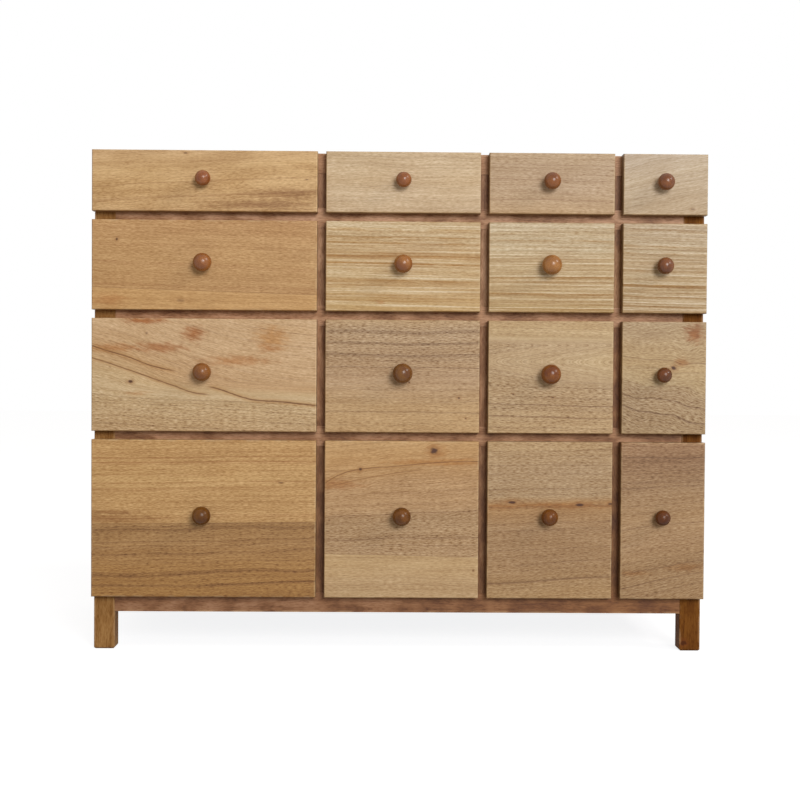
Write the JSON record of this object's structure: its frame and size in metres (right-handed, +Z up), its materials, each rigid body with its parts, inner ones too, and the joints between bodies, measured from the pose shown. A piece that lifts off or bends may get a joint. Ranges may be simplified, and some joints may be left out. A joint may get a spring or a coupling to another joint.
{
  "type": "spice drawer cabinet",
  "caption": "Low tabletop wooden chest of small overlay drawers in graded widths and heights, with turned ball knobs and short square legs.",
  "frame": {"origin": "on the floor, under the middle of the whole cabinet with its knobs", "axes": "+Z up, +X to the right of a person who faces the drawers, -Y the way the drawers open"},
  "size_m": [0.6166, 0.3044, 0.502],
  "materials": {
    "front_wood": "oiled ring-porous timber, satin, horizontal grain",
    "frame_wood": "oiled timber, a little darker than the fronts, satin",
    "muntin_wood": "oiled timber, darker brown, satin",
    "panel_wood": "oiled timber, satin",
    "box_wood": "bare pale timber, matt",
    "knob_wood": "reddish brown turned hardwood, polished",
    "screw_steel": "zinc-plated steel"
  },
  "bodies": {
    "carcase": {"top_board": "frame_wood", "corner_posts": "frame_wood", "front_rails": "frame_wood", "rear_rails": "frame_wood", "side_rails": "frame_wood", "muntins": "muntin_wood", "shelves": "panel_wood", "side_panels": "panel_wood", "back_panel": "panel_wood", "partitions": "panel_wood", "drawer_guides": "muntin_wood", "back_panel_screws": "screw_steel"},
    "drawer_1_1": {"drawer_1_1_front": "front_wood", "drawer_1_1_box": "box_wood", "drawer_1_1_knob": "knob_wood"},
    "drawer_1_2": {"drawer_1_2_front": "front_wood", "drawer_1_2_box": "box_wood", "drawer_1_2_knob": "knob_wood"},
    "drawer_1_3": {"drawer_1_3_front": "front_wood", "drawer_1_3_box": "box_wood", "drawer_1_3_knob": "knob_wood"},
    "drawer_1_4": {"drawer_1_4_front": "front_wood", "drawer_1_4_box": "box_wood", "drawer_1_4_knob": "knob_wood"},
    "drawer_2_1": {"drawer_2_1_front": "front_wood", "drawer_2_1_box": "box_wood", "drawer_2_1_knob": "knob_wood"},
    "drawer_2_2": {"drawer_2_2_front": "front_wood", "drawer_2_2_box": "box_wood", "drawer_2_2_knob": "knob_wood"},
    "drawer_2_3": {"drawer_2_3_front": "front_wood", "drawer_2_3_box": "box_wood", "drawer_2_3_knob": "knob_wood"},
    "drawer_2_4": {"drawer_2_4_front": "front_wood", "drawer_2_4_box": "box_wood", "drawer_2_4_knob": "knob_wood"},
    "drawer_3_1": {"drawer_3_1_front": "front_wood", "drawer_3_1_box": "box_wood", "drawer_3_1_knob": "knob_wood"},
    "drawer_3_2": {"drawer_3_2_front": "front_wood", "drawer_3_2_box": "box_wood", "drawer_3_2_knob": "knob_wood"},
    "drawer_3_3": {"drawer_3_3_front": "front_wood", "drawer_3_3_box": "box_wood", "drawer_3_3_knob": "knob_wood"},
    "drawer_3_4": {"drawer_3_4_front": "front_wood", "drawer_3_4_box": "box_wood", "drawer_3_4_knob": "knob_wood"},
    "drawer_4_1": {"drawer_4_1_front": "front_wood", "drawer_4_1_box": "box_wood", "drawer_4_1_knob": "knob_wood"},
    "drawer_4_2": {"drawer_4_2_front": "front_wood", "drawer_4_2_box": "box_wood", "drawer_4_2_knob": "knob_wood"},
    "drawer_4_3": {"drawer_4_3_front": "front_wood", "drawer_4_3_box": "box_wood", "drawer_4_3_knob": "knob_wood"},
    "drawer_4_4": {"drawer_4_4_front": "front_wood", "drawer_4_4_box": "box_wood", "drawer_4_4_knob": "knob_wood"}
  },
  "joints": [
    {"name": "drawer_1_1_slide", "type": "slide", "parent": "carcase", "child": "drawer_1_1", "axis": [0, -1, 0], "range_m": [0, 0.19]},
    {"name": "drawer_1_2_slide", "type": "slide", "parent": "carcase", "child": "drawer_1_2", "axis": [0, -1, 0], "range_m": [0, 0.19]},
    {"name": "drawer_1_3_slide", "type": "slide", "parent": "carcase", "child": "drawer_1_3", "axis": [0, -1, 0], "range_m": [0, 0.19]},
    {"name": "drawer_1_4_slide", "type": "slide", "parent": "carcase", "child": "drawer_1_4", "axis": [0, -1, 0], "range_m": [0, 0.19]},
    {"name": "drawer_2_1_slide", "type": "slide", "parent": "carcase", "child": "drawer_2_1", "axis": [0, -1, 0], "range_m": [0, 0.19]},
    {"name": "drawer_2_2_slide", "type": "slide", "parent": "carcase", "child": "drawer_2_2", "axis": [0, -1, 0], "range_m": [0, 0.19]},
    {"name": "drawer_2_3_slide", "type": "slide", "parent": "carcase", "child": "drawer_2_3", "axis": [0, -1, 0], "range_m": [0, 0.19]},
    {"name": "drawer_2_4_slide", "type": "slide", "parent": "carcase", "child": "drawer_2_4", "axis": [0, -1, 0], "range_m": [0, 0.19]},
    {"name": "drawer_3_1_slide", "type": "slide", "parent": "carcase", "child": "drawer_3_1", "axis": [0, -1, 0], "range_m": [0, 0.19]},
    {"name": "drawer_3_2_slide", "type": "slide", "parent": "carcase", "child": "drawer_3_2", "axis": [0, -1, 0], "range_m": [0, 0.19]},
    {"name": "drawer_3_3_slide", "type": "slide", "parent": "carcase", "child": "drawer_3_3", "axis": [0, -1, 0], "range_m": [0, 0.19]},
    {"name": "drawer_3_4_slide", "type": "slide", "parent": "carcase", "child": "drawer_3_4", "axis": [0, -1, 0], "range_m": [0, 0.19]},
    {"name": "drawer_4_1_slide", "type": "slide", "parent": "carcase", "child": "drawer_4_1", "axis": [0, -1, 0], "range_m": [0, 0.19]},
    {"name": "drawer_4_2_slide", "type": "slide", "parent": "carcase", "child": "drawer_4_2", "axis": [0, -1, 0], "range_m": [0, 0.19]},
    {"name": "drawer_4_3_slide", "type": "slide", "parent": "carcase", "child": "drawer_4_3", "axis": [0, -1, 0], "range_m": [0, 0.19]},
    {"name": "drawer_4_4_slide", "type": "slide", "parent": "carcase", "child": "drawer_4_4", "axis": [0, -1, 0], "range_m": [0, 0.19]}
  ]
}
